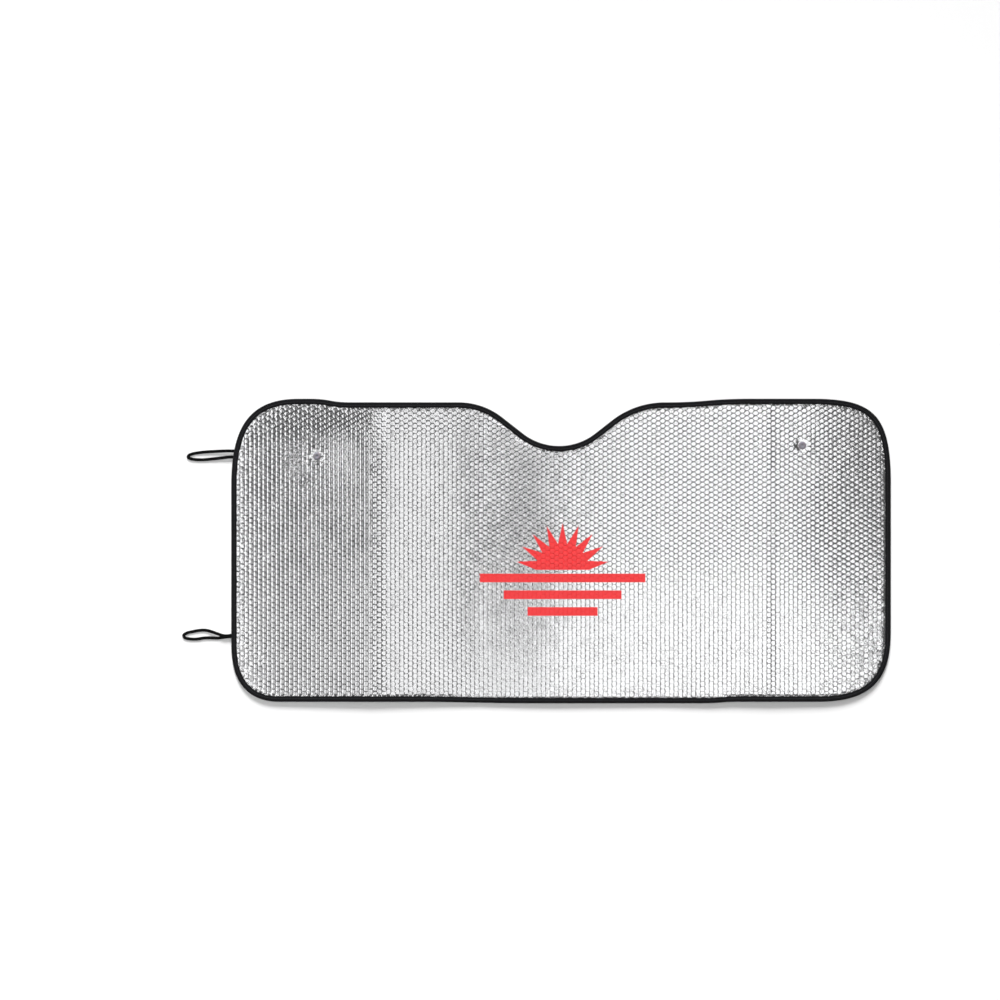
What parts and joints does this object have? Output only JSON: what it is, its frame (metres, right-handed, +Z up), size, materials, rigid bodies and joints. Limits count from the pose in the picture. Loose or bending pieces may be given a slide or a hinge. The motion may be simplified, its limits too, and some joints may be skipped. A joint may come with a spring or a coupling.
{
  "type": "windscreen sunshade",
  "caption": "Flat windscreen sunshade of silver bubble foil with a black sewn edge tape, a notch for the mirror foot, suction cups and elastic loops that hold it rolled.",
  "frame": {"origin": "on the floor under the middle of the shade's outline, loops left out", "axes": "+X along the length away from the elastic loops, +Y towards the edge with the mirror notch, +Z up out of the printed face"},
  "size_m": [1.3969, 0.6, 0.012],
  "materials": {
    "foil": "aluminised film over air bubbles, bright, finely creased",
    "tape": "woven polyester tape, matt",
    "elastic": "braided elastic, slight sheen",
    "cup": "soft clear PVC, smoky, glossy",
    "ink": "red screen-printing ink over the foil"
  },
  "bodies": {
    "root": {"bubble_foil_sheet": "foil", "edge_binding": "tape", "elastic_loop_upper": "elastic", "elastic_loop_lower": "elastic", "suction_cup_left": "cup", "suction_cup_right": "cup", "printed_half_sun": "ink", "printed_bar_1": "ink", "printed_bar_2": "ink", "printed_bar_3": "ink"}
  },
  "joints": []
}
